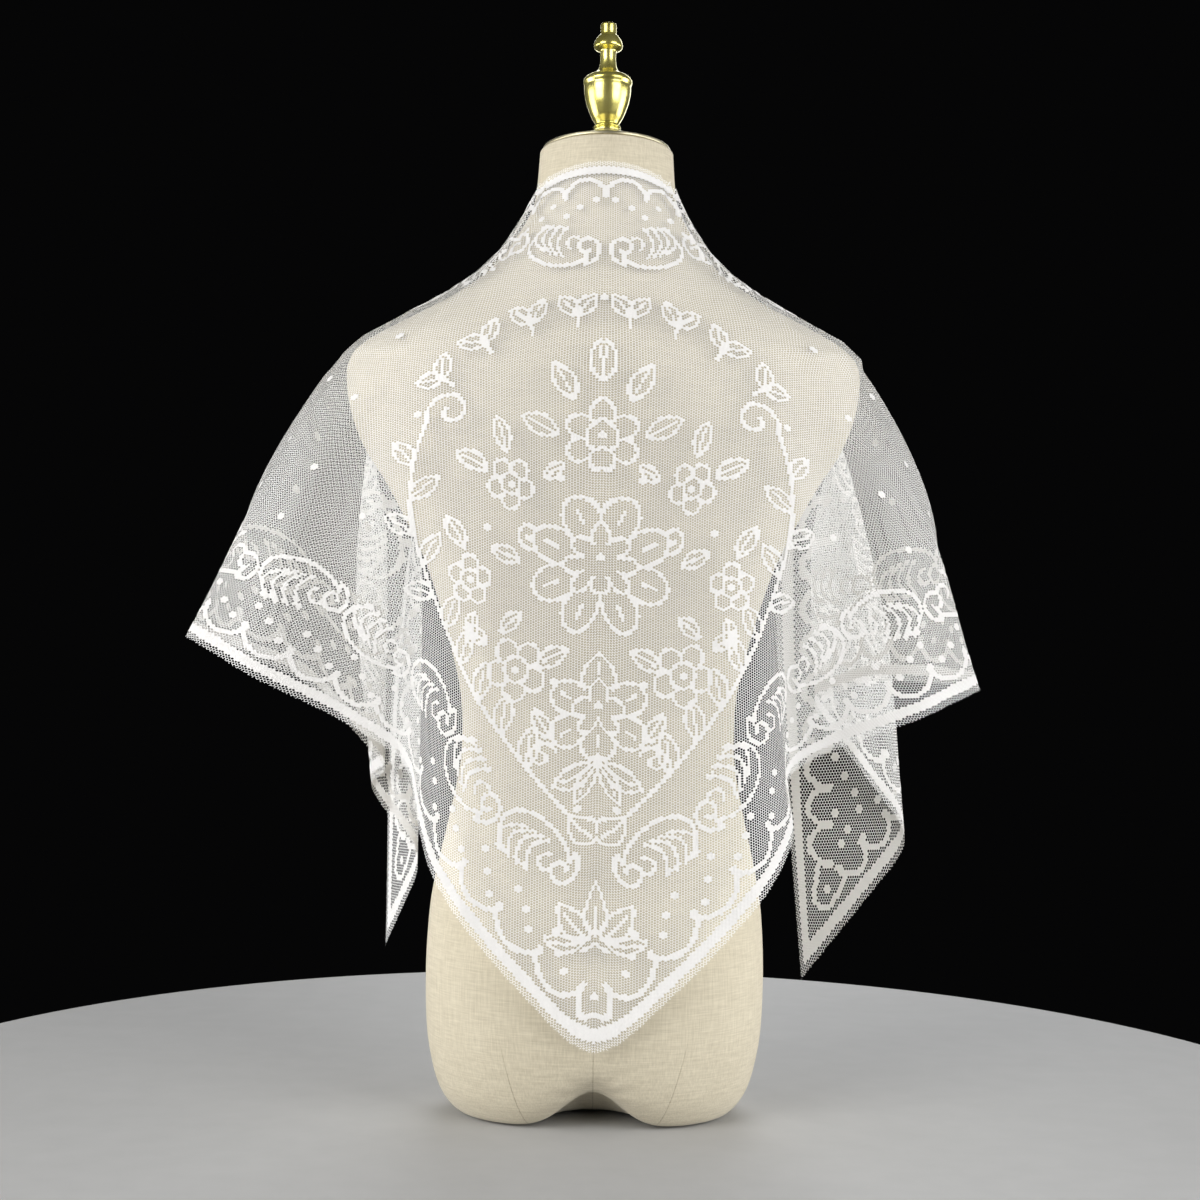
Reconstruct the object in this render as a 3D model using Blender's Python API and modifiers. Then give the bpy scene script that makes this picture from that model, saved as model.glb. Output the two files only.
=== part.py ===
"""A lace triangle shawl worn over a limbless dress form, seen from behind.

The shawl is one right-angled triangle of cloth. Its long edge passes behind the neck and runs
down both fronts, and its corner hangs at the back. Each point of the cloth is named by two
numbers: the share of the short side that its rib ends at (0 at the corner, 1 at the tail) and
the share of the way from the long edge to the hem. The fold tables place a few ribs in space.
The script's axes: X to the right as seen from behind, Y towards the front, Z up, metres.
"""

import math

import bpy
import numpy as np
from mathutils import Matrix, Vector

MM = 0.001

# Shawl: its flat cut is 1460 mm along the long edge and 730 mm from there to the corner
NECK_HALF = 108 * MM            # length of the long edge from centre back to the neck's side
SILHOUETTE_START = 84 * MM      # where the rib of the outer fold leaves the long edge
WALL = 1.2 * MM                 # thickness of the solid that stands for the lace
SEAM_GAP = 0.3 * MM             # between two stretches of the shawl
CLEARANCE = 2.7 * MM            # least level distance from the form to the middle of the wall
OUTER_FOLD = 0.5                # share of the short side at the outer fold
SEAM_SHARE = 0.655              # share where the front stretches begin, past that fold
NEAREST_REACH = 0.05            # least share of the form's width that a point counts as
SNUG_FROM = 571 * MM            # above this level the cloth settles towards the form
SNUG_FULL = 626 * MM            # and above this one it keeps only a part of its distance
SNUG_KEEPS = 0.1

# Net of faces on the cloth
SHARE_STEP = 0.05               # between ribs where the cloth is smooth
LEAST_STEP = 0.0095             # between ribs at a fold
UPPER_PARTS = np.arange(0, 0.4, 0.05)
LOWER_PARTS = np.linspace(0.4, 1, 11)
SOFT_STEPS = 4                  # samples to each side when a fold is rounded off
CURVE_STEPS = 12                # samples between two places on a rib
FOLD_RAMP = 0.3                 # part of a rib over which a shallow fold rises and dies out

# The long edge round the neck
COLLAR_WIDTH = 61 * MM
COLLAR_DEPTH = 69 * MM
COLLAR_FORE = 3 * MM
COLLAR_TOP = 734 * MM
COLLAR_DROP = 27 * MM

# Ribs that are placed by hand, from the centre back to the tail. The share is that of the
# short side where the rib ends, and soft is the share over which the cloth turns at it.
# Then come out, fore and up in mm at the shoulder, the chest, the waist and the hem.
RIGHT_FOLDS = (
    # share, soft, shoulder, chest, waist, hem
    (0.12, 0.050, (30, -100, 666), (40, -119, 576), (56, -122, 388), (85, -124, 134)),
    (0.19, 0.030, (48, -97, 663), (61, -117, 580), (86, -120, 410), (132, -112, 189)),
    (0.24, 0.022, (61, -93, 661), (78, -113, 582), (110, -112, 426), (151, -80, 224)),
    (0.30, 0.028, (74, -84, 656), (100, -107, 583), (140, -96, 438), (142, -28, 264)),
    (0.40, 0.045, (104, -68, 645), (142, -89, 578), (190, -70, 456), (219, -24, 297)),
    (0.50, 0.016, (130, -44, 636), (178, -60, 578), (248, -30, 472), (308, 8, 333)),
    (0.57, 0.024, (139, -17, 634), (196, -27, 586), (264, 6, 470), (256, 38, 336)),
    (0.63, 0.024, (139, 8, 633), (202, 6, 587), (226, 46, 462), (222, 62, 336)),
    (0.72, 0.022, (128, 32, 634), (186, 46, 577), (170, 92, 448), (174, 88, 316)),
    (0.85, 0.028, (110, 52, 637), (186, 94, 554), (246, 124, 396), (268, 116, 200)),
    (1.00, 0.030, (90, 66, 642), (134, 118, 542), (150, 146, 326), (173, 142, 71)),
)
LEFT_FOLDS = (
    (0.12, 0.050, (30, -100, 666), (40, -119, 576), (56, -122, 388), (83, -124, 139)),
    (0.19, 0.030, (48, -97, 663), (61, -117, 580), (86, -120, 410), (122, -112, 190)),
    (0.24, 0.022, (61, -93, 661), (78, -113, 582), (109, -112, 430), (136, -80, 231)),
    (0.30, 0.028, (74, -84, 656), (100, -107, 584), (139, -96, 444), (146, -30, 272)),
    (0.40, 0.045, (104, -68, 645), (143, -89, 582), (196, -70, 470), (235, -24, 317)),
    (0.50, 0.016, (130, -44, 637), (182, -60, 582), (262, -28, 480), (334, 10, 367)),
    (0.57, 0.024, (139, -17, 636), (201, -27, 588), (278, 6, 478), (296, 36, 352)),
    (0.63, 0.024, (139, 8, 635), (208, 6, 589), (238, 48, 468), (240, 62, 330)),
    (0.73, 0.022, (127, 34, 636), (190, 46, 578), (174, 94, 454), (172, 76, 256)),
    (0.81, 0.028, (115, 47, 638), (181, 88, 558), (213, 124, 426), (194, 114, 240)),
    (0.90, 0.024, (104, 57, 641), (152, 108, 550), (146, 124, 396), (145, 100, 176)),
    (1.00, 0.030, (91, 66, 643), (142, 122, 540), (179, 164, 336), (183, 160, 93)),
)
CENTRE_BACK = (0.0, 0.050, (0, -104, 658), (0, -120, 570), (0, -122, 376), (0, -122, 52))

# Shallow folds in the back triangle: side, share where it starts and ends, half width as a
# share of the short side, height and the part of the rib over which it lives.
SHALLOW_FOLDS = (
    # side, top share, hem share, half width, height, from, to
    (1, 0.42, 0.36, 0.035, 5 * MM, 0.30, 1.00),
    (1, 0.47, 0.44, 0.025, -4 * MM, 0.35, 1.00),
    (1, 0.30, 0.07, 0.030, 3 * MM, 0.45, 1.00),
    (-1, 0.43, 0.37, 0.035, 5 * MM, 0.30, 1.00),
    (-1, 0.47, 0.44, 0.025, -4 * MM, 0.35, 1.00),
    (-1, 0.26, 0.06, 0.030, 3 * MM, 0.45, 1.00),
)

# Dress form: level, half width, depth to the back, depth to the front, squareness, in mm
FORM_SECTIONS = (
    # up, half width, back, fore, squareness
    (0, 99, 74, 66, 2.5),
    (2, 107, 82, 73, 2.5),
    (9, 115, 90, 80, 2.4),
    (21, 122, 98, 86, 2.35),
    (38, 127, 104, 89, 2.3),
    (62, 131, 108, 91, 2.3),
    (95, 132.5, 110, 92, 2.3),
    (128, 132, 109, 93, 2.3),
    (162, 129.5, 105, 93, 2.25),
    (190, 124.5, 99, 91, 2.25),
    (219, 118, 91, 87, 2.25),
    (245, 112.5, 83, 83, 2.2),
    (271, 108, 77, 81, 2.2),
    (296, 107, 74, 81, 2.2),
    (326, 109, 76, 84, 2.2),
    (361, 117, 81, 91, 2.2),
    (396, 127, 88, 100, 2.2),
    (431, 139.5, 95, 109, 2.2),
    (464, 156, 101, 115, 2.2),
    (491, 171, 105, 117, 2.25),
    (516, 187, 108, 115, 2.3),
    (541, 197, 109, 109, 2.35),
    (566, 201.5, 108, 99, 2.4),
    (586, 199, 105, 88, 2.4),
    (600, 185, 101, 80, 2.35),
    (616, 156, 96, 72, 2.3),
    (634, 122, 90, 66, 2.3),
    (651, 97, 84, 61, 2.25),
    (668, 80, 78, 57, 2.2),
    (684, 69.5, 71, 54.5, 2.1),
    (698, 61.5, 65.5, 53, 2.05),
    (712, 56, 61.5, 52, 2.0),
    (728, 54, 57.5, 51, 2.0),
    (750, 52.5, 53, 50, 2.0),
)
FORM_SIDES = 52                 # corners in one level of the form
FORM_STEPS = 40                 # levels from base to neck
NOTCH_HEIGHT = 28 * MM          # where the cover is drawn in below, front and back
NOTCH_HALF_WIDTH = 29 * MM
NOTCH_STARTS_AT = 15 * MM       # distance from the middle of the base where it begins
NOTCH_FULL_AT = 60 * MM         # and where it has its full height
NOTCH_UP_TO = 60 * MM           # level where the cover is whole again
BASE_INSETS = (0.25, 0.55, 0.8) # rings in the flat base, as shares of its outline
NECK_TILT = math.radians(6)     # the neck's top falls towards the front
TILT_FROM = 686 * MM
NECK_TOP = 750 * MM

# Neck cap and finial, each a profile from the top down its outer side: radius, height in mm
PART_GAP = 0.3 * MM
CAP_PROFILE = (
    # radius, height
    (0, 18.7), (11, 18.7), (13, 17.6), (24, 13.2), (34, 9.4), (42, 6.4), (47, 4.6),
    (49.6, 4.0), (50.4, 3.2), (50.5, 1.0), (49.8, 0.3), (48, 0.0), (0, 0.0),
)
FINIAL_PROFILE = (
    # radius, height
    (0, 88.6), (4.8, 88.4), (6.2, 87.4), (6.4, 85.6), (6.3, 80.6), (6.6, 79.2), (8.6, 77.0),
    (10.6, 73.6), (11.4, 70.4), (11.0, 68.2), (8.6, 66.8), (6.7, 66.0), (6.3, 63.0),
    (6.2, 57.6), (7.0, 52.6), (9.0, 48.8), (12.6, 46.2), (16.6, 44.2), (18.8, 42.0),
    (19.4, 39.8), (18.8, 37.8), (18.4, 36.6), (18.5, 33.6), (17.9, 28.6), (16.6, 22.6),
    (14.6, 16.8), (12.4, 11.4), (10.2, 7.8), (9.2, 5.8), (9.4, 4.9), (10.4, 4.2),
    (10.6, 3.2), (10.0, 2.4), (10.6, 1.4), (10.4, 0.0), (0, 0.0),
)
TURNED_STEPS = 36               # facets round the cap
FINIAL_STEPS = 20               # facets round the finial
WELD = 0.05 * MM                # points of a turned solid that are nearer become one

# Plain finishes: color, roughness, metallic
LACE = ((0.86, 0.87, 0.9), 0.7, 0.0)
LINEN = ((0.56, 0.5, 0.42), 0.85, 0.0)
CAP_BRASS = ((0.8, 0.62, 0.3), 0.25, 1.0)
FINIAL_BRASS = ((0.8, 0.6, 0.26), 0.18, 1.0)


def form_section(up):
    """Half width, depth to the back, depth to the front and squareness of the form."""
    levels = np.array([row[0] for row in FORM_SECTIONS]) * MM
    values = np.array([row[1:] for row in FORM_SECTIONS])
    found = [np.interp(up, levels, values[:, k]) for k in range(4)]
    return found[0] * MM, found[1] * MM, found[2] * MM, found[3]


def settle_on_form(points):
    """Moves points level by level: out of the form, and near the neck in towards it."""
    x, y, z = points[..., 0], points[..., 1], points[..., 2]
    level = z + math.tan(NECK_TILT) * y * np.clip((z - TILT_FROM) / (NECK_TOP - TILT_FROM), 0, 1)
    wide, back, fore, square = form_section(level - CLEARANCE)
    wide = wide + CLEARANCE
    deep = np.where(y < 0, back, fore) + CLEARANCE
    inside = (np.abs(x) / wide) ** square + (np.abs(y) / deep) ** square
    reach = np.where(level < NECK_TOP, inside ** (1 / square), 1.0)
    snug = np.clip((level - SNUG_FROM) / (SNUG_FULL - SNUG_FROM), 0, 1) * (level < NECK_TOP)
    settled = 1 + np.maximum(reach - 1, 0) * (1 - (1 - SNUG_KEEPS) * snug)
    move = settled / np.maximum(reach, NEAREST_REACH)
    return np.stack([x * move, y * move, z], axis=-1)


def rib_start(share):
    """Distance along the long edge, from centre back, where a rib leaves it."""
    return np.interp(share, [0, OUTER_FOLD, 1], [0, SILHOUETTE_START, NECK_HALF])


def collar_point(start):
    """Place on the long edge where it passes round the neck."""
    turn = start / ((COLLAR_WIDTH + COLLAR_DEPTH) / 2)
    up = COLLAR_TOP - COLLAR_DROP * (1 - np.cos(turn))
    return np.stack([COLLAR_WIDTH * np.sin(turn), COLLAR_FORE - COLLAR_DEPTH * np.cos(turn), up], -1)


def stations(side, shares):
    """The five places that each rib passes, for ribs on one side of the centre back."""
    rows = (CENTRE_BACK,) + (RIGHT_FOLDS if side > 0 else LEFT_FOLDS)
    other = LEFT_FOLDS if side > 0 else RIGHT_FOLDS
    at = np.array([row[0] for row in rows])
    soft = np.interp(shares, at, [row[1] for row in rows])
    mirrored = [-row[0] for row in reversed(other[:3])]
    at_all = np.concatenate([mirrored, at])
    found = []
    for k in range(2, 6):
        near = [(-row[k][0], row[k][1], row[k][2]) for row in reversed(other[:3])]
        places = np.array(near + [row[k] for row in rows]) * MM
        total = np.zeros((len(shares), 3))
        weight = 0.0
        for step in range(-SOFT_STEPS, SOFT_STEPS + 1):
            share = np.minimum(shares + soft * step / SOFT_STEPS, 1.0)
            part = SOFT_STEPS + 1 - abs(step)
            total += part * np.stack([np.interp(share, at_all, places[:, c]) for c in range(3)], -1)
            weight += part
        found.append(total / weight)
    collar = collar_point(rib_start(shares))
    return np.stack([collar] + found, axis=1) * [side, 1, 1]


def along_ribs(places, parts):
    """Points at even parts of each rib's length, on a smooth curve through its five places."""
    lead = 2 * places[:, :1] - places[:, 1:2]
    tail = 2 * places[:, -1:] - places[:, -2:-1]
    knots = np.concatenate([lead, places, tail], axis=1)
    gaps = np.sqrt(np.linalg.norm(np.diff(knots, axis=1), axis=2))
    time = np.concatenate([np.zeros((len(knots), 1)), np.cumsum(gaps, axis=1)], axis=1)
    fine = []
    for k in range(1, 5):
        t0, t1, t2, t3 = (time[:, k - 1 + j][:, None] for j in range(4))
        p0, p1, p2, p3 = (knots[:, k - 1 + j] for j in range(4))
        for step in range(CURVE_STEPS + (k == 4)):
            t = t1 + (t2 - t1) * step / CURVE_STEPS
            a1 = (t1 - t) / (t1 - t0) * p0 + (t - t0) / (t1 - t0) * p1
            a2 = (t2 - t) / (t2 - t1) * p1 + (t - t1) / (t2 - t1) * p2
            a3 = (t3 - t) / (t3 - t2) * p2 + (t - t2) / (t3 - t2) * p3
            b1 = (t2 - t) / (t2 - t0) * a1 + (t - t0) / (t2 - t0) * a2
            b2 = (t3 - t) / (t3 - t1) * a2 + (t - t1) / (t3 - t1) * a3
            fine.append((t2 - t) / (t2 - t1) * b1 + (t - t1) / (t2 - t1) * b2)
    fine = np.stack(fine, axis=1)
    length = np.linalg.norm(np.diff(fine, axis=1), axis=2)
    run = np.concatenate([np.zeros((len(fine), 1)), np.cumsum(length, axis=1)], axis=1)
    out = np.empty((len(fine), len(parts), 3))
    for i in range(len(fine)):
        for c in range(3):
            out[i, :, c] = np.interp(parts * run[i, -1], run[i], fine[i, :, c])
    return out


def grid_normals(points):
    """A unit normal at each point of a grid."""
    along = np.gradient(points, axis=1)
    across = np.gradient(points, axis=0)
    normal = np.cross(across, along)
    size = np.linalg.norm(normal, axis=2, keepdims=True)
    return normal / np.maximum(size, 1e-12)


def shawl_points(signed_shares, parts):
    """The middle of the cloth at each signed share (left is below 0) and part of a rib."""
    signed_shares = np.asarray(signed_shares, float)
    parts = np.asarray(parts, float)
    points = np.empty((len(signed_shares), len(parts), 3))
    for side in (-1, 1):
        chosen = signed_shares < 0 if side < 0 else signed_shares >= 0
        if chosen.any():
            points[chosen] = along_ribs(stations(side, np.abs(signed_shares[chosen])), parts)
    normals = grid_normals(points)
    lift = np.zeros(points.shape[:2])
    for side, top, hem, half, height, begin, end in SHALLOW_FOLDS:
        middle = side * (top + (hem - top) * parts)
        away = (signed_shares[:, None] - middle[None, :]) / half
        rise = np.clip((parts - begin) / FOLD_RAMP, 0, 1)
        rise = rise * np.clip((end - parts) / FOLD_RAMP + 1, 0, 1)
        lift += height * np.exp(-away * away) * (rise * rise * (3 - 2 * rise))[None, :]
    points = points + normals * lift[..., None]
    return settle_on_form(points)


def mesh_object(name, vertices, faces, material, collection):
    """A new object with its own mesh, its faces turned outwards."""
    mesh = bpy.data.meshes.new(name)
    mesh.from_pydata([tuple(v) for v in vertices], [], faces)
    mesh.validate()
    mesh.update()
    mesh.materials.append(material)
    made = bpy.data.objects.new(name, mesh)
    collection.objects.link(made)
    return made


def wall_object(name, shares, parts, material, collection, trim_low, trim_high):
    """One stretch of the cloth: an open sheet, thickened by a Solidify modifier."""
    sheet = shawl_points(shares, parts)
    for end, wanted, inner in ((0, trim_low, 1), (-1, trim_high, -2)):
        if wanted:
            way = sheet[inner] - sheet[end]
            way /= np.linalg.norm(way, axis=1, keepdims=True)
            sheet[end] += way * SEAM_GAP / 2
    columns, rows = sheet.shape[:2]
    faces = []
    for i in range(columns - 1):
        for j in range(rows - 1):
            a = i * rows + j
            b = a + rows
            if np.linalg.norm(sheet[i, j] - sheet[i + 1, j + 1]) < \
                    np.linalg.norm(sheet[i + 1, j] - sheet[i, j + 1]):
                faces += [(a, b, b + 1), (a, b + 1, a + 1)]
            else:
                faces += [(a, b, a + 1), (b, b + 1, a + 1)]
    made = mesh_object(name, sheet.reshape(-1, 3), faces, material, collection)
    made.data.shade_smooth()
    wall = made.modifiers.new("Wall", 'SOLIDIFY')
    wall.thickness = WALL
    wall.offset = 0
    return made


def stretch_shares(low, high, folds):
    """Shares for one stretch, close together round its folds."""
    wanted = {low, high}
    wanted.update(np.round(np.arange(low, high, SHARE_STEP), 4))
    for at, soft in folds:
        for step in (-1, -0.5, 0, 0.5, 1):
            share = at + step * soft
            if low < share < high:
                wanted.add(round(share, 4))
    ordered = sorted(wanted)
    kept = [ordered[0]]
    for share in ordered[1:-1]:
        if min(share - kept[-1], ordered[-1] - share) > LEAST_STEP:
            kept.append(share)
    return kept + [ordered[-1]]


def form_vertices():
    """Rings of the dress form from the base up, and how many there are."""
    low = FORM_SECTIONS[0][0] * MM
    levels = [row[0] * MM for row in FORM_SECTIONS]
    turns = np.arange(FORM_SIDES) * 2 * math.pi / FORM_SIDES + math.pi / FORM_SIDES
    rings = []
    for inset in BASE_INSETS:
        rings.append((low, inset))
    for step in range(FORM_STEPS):
        place = step / (FORM_STEPS - 1) * (len(levels) - 1)
        rings.append((np.interp(place, range(len(levels)), levels), 1.0))
    found = []
    for up, inset in rings:
        wide, back, fore, square = form_section(up)
        c, s = np.cos(turns), np.sin(turns)
        x = wide * inset * np.sign(c) * np.abs(c) ** (2 / square)
        deep = np.where(s < 0, back, fore) * inset
        y = deep * np.sign(s) * np.abs(s) ** (2 / square)
        lift = NOTCH_HEIGHT * np.exp(-(x / NOTCH_HALF_WIDTH) ** 2)
        outward = (np.abs(y) - NOTCH_STARTS_AT) / (NOTCH_FULL_AT - NOTCH_STARTS_AT)
        lift = lift * np.clip(outward, 0, 1) ** 2 * np.clip(1 - up / NOTCH_UP_TO, 0, 1)
        fall = math.tan(NECK_TILT) * y * min(max((up - TILT_FROM) / (NECK_TOP - TILT_FROM), 0), 1)
        found.append(np.stack([x, y, up + lift - fall], axis=1))
    return found


def dress_form(material, collection):
    """The closed torso with its flat base and the tilted top of its neck."""
    rings = form_vertices()
    vertices = [tuple(v) for ring in rings for v in ring]
    faces = []
    for k in range(len(rings) - 1):
        for i in range(FORM_SIDES):
            j = (i + 1) % FORM_SIDES
            a, b = k * FORM_SIDES, (k + 1) * FORM_SIDES
            faces.append((a + i, a + j, b + j, b + i))
    base = len(vertices)
    vertices.append((0.0, 0.0, FORM_SECTIONS[0][0] * MM))
    vertices.append((0.0, 0.0, NECK_TOP))
    last = (len(rings) - 1) * FORM_SIDES
    for i in range(FORM_SIDES):
        j = (i + 1) % FORM_SIDES
        faces.append((j, i, base))
        faces.append((last + i, last + j, base + 1))
    return mesh_object("dress_form", vertices, faces, material, collection)


def turned_object(name, profile, steps, material, collection, place):
    """A turned solid from its profile, spun with the Screw modifier and set on the neck."""
    mesh = bpy.data.meshes.new(name)
    points = [(radius * MM, 0.0, height * MM) for radius, height in profile]
    mesh.from_pydata(points, [(k, k + 1) for k in range(len(points) - 1)], [])
    mesh.materials.append(material)
    made = bpy.data.objects.new(name, mesh)
    collection.objects.link(made)
    screw = made.modifiers.new("Turn", 'SCREW')
    screw.axis = 'Z'
    screw.angle = 2 * math.pi
    screw.steps = steps
    screw.render_steps = steps
    screw.use_merge_vertices = True
    screw.merge_threshold = WELD
    screw.use_normal_calculate = True
    made.matrix_world = place
    return made


def principled(name, color, roughness, metallic):
    """A plain Principled material."""
    material = bpy.data.materials.new(name)
    material.use_nodes = True
    shader = material.node_tree.nodes["Principled BSDF"]
    shader.inputs["Base Color"].default_value = (*color, 1.0)
    shader.inputs["Roughness"].default_value = roughness
    shader.inputs["Metallic"].default_value = metallic
    return material


def centre_over_floor(collection):
    """Moves all objects level so that their common box stands centred over the origin."""
    bpy.context.view_layer.update()
    graph = bpy.context.evaluated_depsgraph_get()
    low, high = [1e9, 1e9], [-1e9, -1e9]
    for item in collection.objects:
        solid = item.evaluated_get(graph).to_mesh()
        for vertex in solid.vertices:
            at = item.matrix_world @ vertex.co
            low = [min(low[k], at[k]) for k in range(2)]
            high = [max(high[k], at[k]) for k in range(2)]
    for item in collection.objects:
        item.location.x -= (low[0] + high[0]) / 2
        item.location.y -= (low[1] + high[1]) / 2


def main():
    """Builds the shawl's three stretches, the form, its cap and its finial."""
    for old in list(bpy.data.objects):
        bpy.data.objects.remove(old)
    collection = bpy.data.collections.new("Triangle shawl on a dress form")
    bpy.context.scene.collection.children.link(collection)

    parts = np.concatenate([UPPER_PARTS, LOWER_PARTS])
    back_folds = [(sign * row[0], row[1]) for sign, rows in ((1, RIGHT_FOLDS), (-1, LEFT_FOLDS))
                  for row in rows if row[0] <= SEAM_SHARE]
    stretches = (
        ("shawl_back", -SEAM_SHARE, SEAM_SHARE, back_folds, True, True),
        ("shawl_right_front", SEAM_SHARE, 1.0, [r[:2] for r in RIGHT_FOLDS], True, False),
        ("shawl_left_front", -1.0, -SEAM_SHARE, [(-r[0], r[1]) for r in LEFT_FOLDS], False, True),
    )
    for name, low, high, folds, trim_low, trim_high in stretches:
        lace = principled(name.replace("_", " ") + " lace", *LACE)
        shares = stretch_shares(low, high, folds)
        wall_object(name, shares, parts, lace, collection, trim_low, trim_high)

    dress_form(principled("Linen cover", *LINEN), collection)
    tilt = Matrix.Translation(Vector((0, 0, NECK_TOP))) @ Matrix.Rotation(-NECK_TILT, 4, 'X')
    on_neck = tilt @ Matrix.Translation(Vector((0, 0, PART_GAP)))
    cap_top = CAP_PROFILE[0][1] * MM
    on_cap = tilt @ Matrix.Translation(Vector((0, 0, cap_top + 2 * PART_GAP)))
    turned_object("neck_cap", CAP_PROFILE, TURNED_STEPS,
                  principled("Cap brass", *CAP_BRASS), collection, on_neck)
    turned_object("finial", FINIAL_PROFILE, FINIAL_STEPS,
                  principled("Finial brass", *FINIAL_BRASS), collection, on_cap)
    centre_over_floor(collection)


main()
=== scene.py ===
"""Looks for a lace triangle shawl worn over a limbless dress form, seen from behind.

The cloth is one right-angled triangle of jacquard net. Every point of it has flat coordinates:
across (along the long edge from centre back, right above 0) and down (from the long edge towards
the corner). The fold tables carry those to the draped cloth, so the net ground, the edging and
the woven figures are all laid out flat, as the knitter does, and then draped together.
"""

import math
from functools import partial

import bpy
import numpy as np
from mathutils import Matrix, Vector


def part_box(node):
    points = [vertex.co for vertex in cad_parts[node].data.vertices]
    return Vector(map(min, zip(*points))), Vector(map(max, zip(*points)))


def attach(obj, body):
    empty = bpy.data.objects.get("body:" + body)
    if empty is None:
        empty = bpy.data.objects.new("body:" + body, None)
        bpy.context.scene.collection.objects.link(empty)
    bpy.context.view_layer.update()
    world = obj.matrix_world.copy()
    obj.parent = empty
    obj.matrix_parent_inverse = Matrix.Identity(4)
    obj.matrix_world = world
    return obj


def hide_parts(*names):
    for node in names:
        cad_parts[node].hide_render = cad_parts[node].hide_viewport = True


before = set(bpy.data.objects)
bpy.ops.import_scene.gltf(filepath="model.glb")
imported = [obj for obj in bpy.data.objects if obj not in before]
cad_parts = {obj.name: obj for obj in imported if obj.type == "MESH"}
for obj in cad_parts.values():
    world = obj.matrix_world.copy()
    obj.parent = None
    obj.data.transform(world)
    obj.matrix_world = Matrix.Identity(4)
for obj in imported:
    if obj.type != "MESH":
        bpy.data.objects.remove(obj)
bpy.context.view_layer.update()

MM = 0.001

# Flat cut
HEIGHT_FLAT = 730 * MM          # from the long edge to the corner, half the long edge as well
NECK_HALF = 108 * MM            # length of the long edge from centre back to the neck's side
SILHOUETTE_START = 84 * MM      # where the rib of the outer fold leaves the long edge
CLEARANCE = 2.7 * MM            # least level distance from the form to the cloth
OUTER_FOLD = 0.5                # share of the short side at the outer fold
NEAREST_REACH = 0.05            # least share of the form's width that a point counts as
SNUG_FROM = 571 * MM            # above this level the cloth settles towards the form
SNUG_FULL = 626 * MM            # and above this one it keeps only a part of its distance
SNUG_KEEPS = 0.1
TIE_ROWS = 3                    # ribs next to the centre back that both sides share
SOFT_STEPS = 4                  # to either side of a rib, over which a fold is softened
RIB_STEPS = 12                  # from one place on a rib to the next
CREASE_FADE = 0.3               # part of a rib over which a crease comes up or dies away
GRID_SIDE = 271                 # ribs of the visible cloth on either side, and points on each
GRID_DOWN = 161
HALVINGS = 32                   # in the search for a flat point's rib
NEAR_TIP = 0.6                  # past this share, width and not depth places a point on its rib

# The long edge round the neck
COLLAR_WIDTH = 61 * MM
COLLAR_DEPTH = 69 * MM
COLLAR_FORE = 3 * MM
COLLAR_TOP = 734 * MM
COLLAR_DROP = 27 * MM

# Ribs listed from the centre back to the tail, in mm: out, fore and up
RIGHT_FOLDS = (
    # share, soft, shoulder, chest, waist, hem
    (0.12, 0.050, (30, -100, 666), (40, -119, 576), (56, -122, 388), (85, -124, 134)),
    (0.19, 0.030, (48, -97, 663), (61, -117, 580), (86, -120, 410), (132, -112, 189)),
    (0.24, 0.022, (61, -93, 661), (78, -113, 582), (110, -112, 426), (151, -80, 224)),
    (0.30, 0.028, (74, -84, 656), (100, -107, 583), (140, -96, 438), (142, -28, 264)),
    (0.40, 0.045, (104, -68, 645), (142, -89, 578), (190, -70, 456), (219, -24, 297)),
    (0.50, 0.016, (130, -44, 636), (178, -60, 578), (248, -30, 472), (308, 8, 333)),
    (0.57, 0.024, (139, -17, 634), (196, -27, 586), (264, 6, 470), (256, 38, 336)),
    (0.63, 0.024, (139, 8, 633), (202, 6, 587), (226, 46, 462), (222, 62, 336)),
    (0.72, 0.022, (128, 32, 634), (186, 46, 577), (170, 92, 448), (174, 88, 316)),
    (0.85, 0.028, (110, 52, 637), (186, 94, 554), (246, 124, 396), (268, 116, 200)),
    (1.00, 0.030, (90, 66, 642), (134, 118, 542), (150, 146, 326), (173, 142, 71)),
)
LEFT_FOLDS = (
    (0.12, 0.050, (30, -100, 666), (40, -119, 576), (56, -122, 388), (83, -124, 139)),
    (0.19, 0.030, (48, -97, 663), (61, -117, 580), (86, -120, 410), (122, -112, 190)),
    (0.24, 0.022, (61, -93, 661), (78, -113, 582), (109, -112, 430), (136, -80, 231)),
    (0.30, 0.028, (74, -84, 656), (100, -107, 584), (139, -96, 444), (146, -30, 272)),
    (0.40, 0.045, (104, -68, 645), (143, -89, 582), (196, -70, 470), (235, -24, 317)),
    (0.50, 0.016, (130, -44, 637), (182, -60, 582), (262, -28, 480), (334, 10, 367)),
    (0.57, 0.024, (139, -17, 636), (201, -27, 588), (278, 6, 478), (296, 36, 352)),
    (0.63, 0.024, (139, 8, 635), (208, 6, 589), (238, 48, 468), (240, 62, 330)),
    (0.73, 0.022, (127, 34, 636), (190, 46, 578), (174, 94, 454), (172, 76, 256)),
    (0.81, 0.028, (115, 47, 638), (181, 88, 558), (213, 124, 426), (194, 114, 240)),
    (0.90, 0.024, (104, 57, 641), (152, 108, 550), (146, 124, 396), (145, 100, 176)),
    (1.00, 0.030, (91, 66, 643), (142, 122, 540), (179, 164, 336), (183, 160, 93)),
)
CENTRE_BACK = (0.0, 0.050, (0, -104, 658), (0, -120, 570), (0, -122, 376), (0, -122, 52))
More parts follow.
